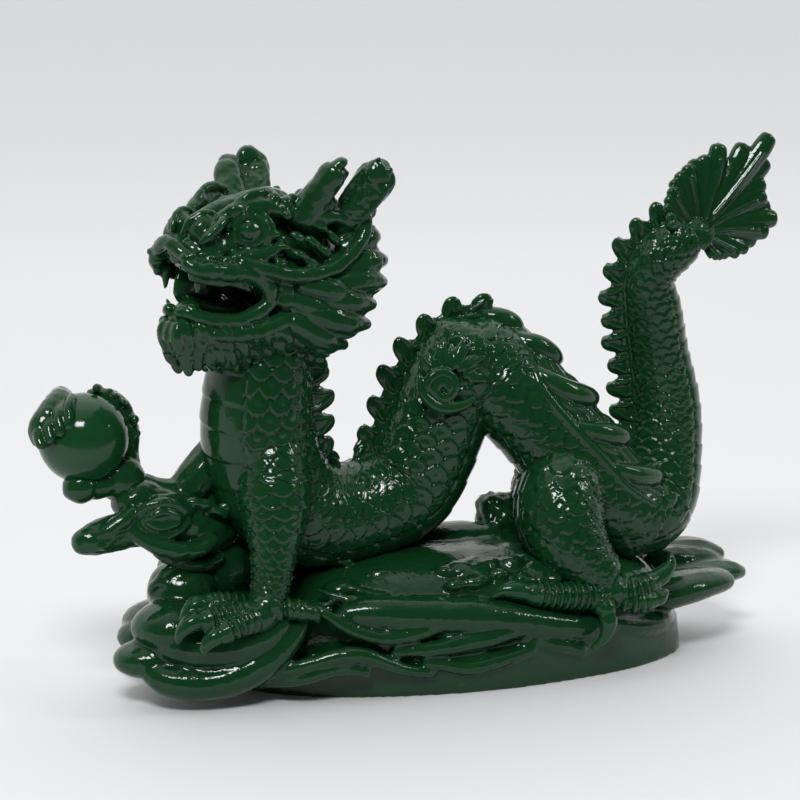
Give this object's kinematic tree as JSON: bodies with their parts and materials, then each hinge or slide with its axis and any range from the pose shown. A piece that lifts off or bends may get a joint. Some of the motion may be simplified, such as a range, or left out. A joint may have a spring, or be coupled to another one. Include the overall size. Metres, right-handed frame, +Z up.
{
  "type": "dragon figurine",
  "caption": "Glossy dark green cast-resin dragon that clasps a pearl and coils over an oval bed of clouds, a free-standing shelf ornament.",
  "frame": {"origin": "middle of the plinth's flat underside", "axes": "+Z up; +X towards the tail end, so the dragon faces -X; -Y is the dragon's left side, the one that faces the viewer"},
  "size_m": [0.1434, 0.0431, 0.0968],
  "materials": {
    "dragon_resin": "solid-coloured cast resin under a high-gloss clear lacquer",
    "cloud_resin": "the same cast resin and lacquer on the plinth and clouds",
    "pearl_resin": "the same cast resin, polished smooth on the pearl"
  },
  "bodies": {
    "root": {"base_mound": "cloud_resin", "base_plinth": "cloud_resin", "beard": "dragon_resin", "belly_plates_neck": "dragon_resin", "body_arch": "dragon_resin", "body_descent": "dragon_resin", "body_front_loop": "dragon_resin", "body_neck": "dragon_resin", "body_rear_loop": "dragon_resin", "body_tail": "dragon_resin", "brow_left": "dragon_resin", "brow_right": "dragon_resin", "cloud_curl_back": "cloud_resin", "cloud_petal_right_1": "cloud_resin", "cloud_petal_right_2": "cloud_resin", "cloud_petal_right_3": "cloud_resin", "cloud_puff_left_1": "cloud_resin", "cloud_puff_left_2": "cloud_resin", "cloud_puff_left_3": "cloud_resin", "cloud_puff_left_4": "cloud_resin", "cloud_puff_left_5": "cloud_resin", "cloud_swirl_back_1": "cloud_resin", "cloud_swirl_back_2": "cloud_resin", "cloud_swirl_front_1": "cloud_resin", "cloud_swirl_front_2": "cloud_resin", "cloud_swirl_front_3": "cloud_resin", "crest_arch": "dragon_resin", "crest_descent": "dragon_resin", "crest_neck": "dragon_resin", "crest_tail": "dragon_resin", "ear_left": "dragon_resin", "ear_right": "dragon_resin", "eye_left": "dragon_resin", "eye_right": "dragon_resin", "fang_left": "dragon_resin", "fang_right": "dragon_resin", "flank_scroll": "dragon_resin", "foreleg_left": "dragon_resin", "foreleg_right_forearm": "dragon_resin", "foreleg_right_upper": "dragon_resin", "forepaw_left": "dragon_resin", "forepaw_right": "dragon_resin", "head_skull": "dragon_resin", "hindleg_left": "dragon_resin", "hindleg_right": "dragon_resin", "hindpaw_left": "dragon_resin", "hindpaw_right": "dragon_resin", "horn_left": "dragon_resin", "horn_right": "dragon_resin", "lower_jaw": "dragon_resin", "mane_back": "dragon_resin", "mane_left": "dragon_resin", "mane_right": "dragon_resin", "nose": "dragon_resin", "pearl": "pearl_resin", "snout": "dragon_resin", "tail_fin": "dragon_resin", "tongue": "dragon_resin", "whisker_left": "dragon_resin", "whisker_right": "dragon_resin"}
  },
  "joints": []
}
